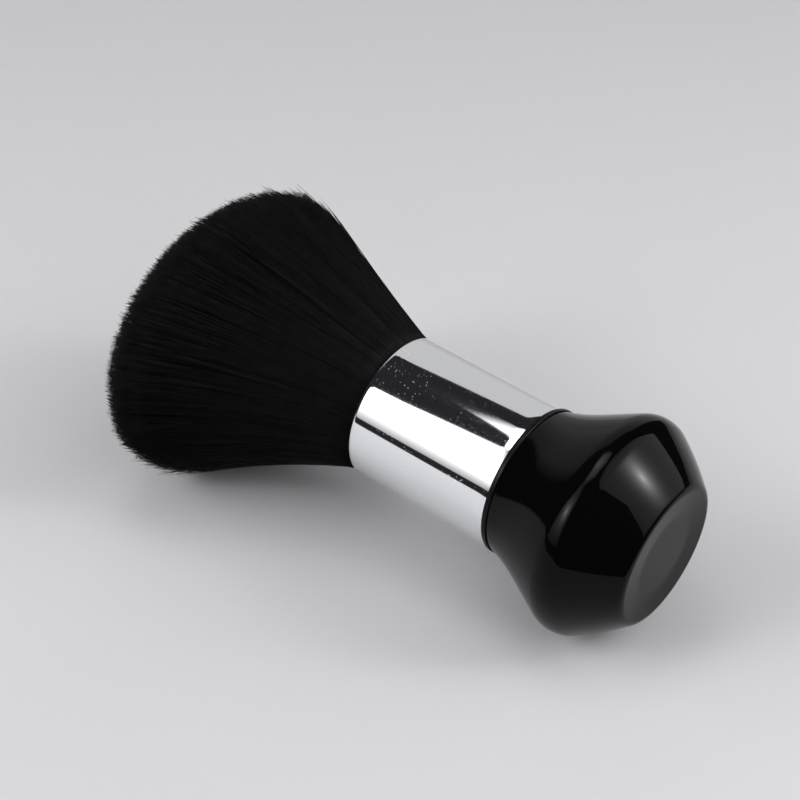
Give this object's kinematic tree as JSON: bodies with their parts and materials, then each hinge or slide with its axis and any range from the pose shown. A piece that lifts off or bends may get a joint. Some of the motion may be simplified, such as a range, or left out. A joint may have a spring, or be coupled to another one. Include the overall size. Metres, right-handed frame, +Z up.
{
  "type": "neck duster brush",
  "caption": "Short round barber's neck duster: flared black bristle tuft, bright metal ferrule and gloss black flat-ended knob, lying on its side.",
  "frame": {"origin": "on the surface the brush lies on, under the centre of its bounding box", "axes": "+X towards the knob's end, -X towards the bristle tips, +Z up; the brush's own axis lies in the XZ plane, 5.5 degrees knob-end down, because the tuft is wider than the knob"},
  "size_m": [0.1402, 0.0774, 0.0757],
  "materials": {
    "bristle_nylon": "fine black nylon filament, matte with a faint sheen",
    "waxed_cord": "waxed, matte",
    "set_resin": "gloss",
    "pale_plastic": "matte",
    "clear_glue": "gloss",
    "bright_aluminium": "polished",
    "satin_black_plastic": "satin",
    "gloss_black_plastic": "gloss",
    "plated_steel": "satin"
  },
  "bodies": {
    "root": {"bristle_tuft": "bristle_nylon", "binding_cord": "waxed_cord", "root_resin": "set_resin", "knot_cup": "pale_plastic", "mouth_glue_bead": "clear_glue", "ferrule": "bright_aluminium", "ferrule_glue_ring": "clear_glue", "core_plug": "satin_black_plastic", "knob_glue_ring": "clear_glue", "knob": "gloss_black_plastic", "weight_slug": "plated_steel", "slug_adhesive": "clear_glue"}
  },
  "joints": []
}
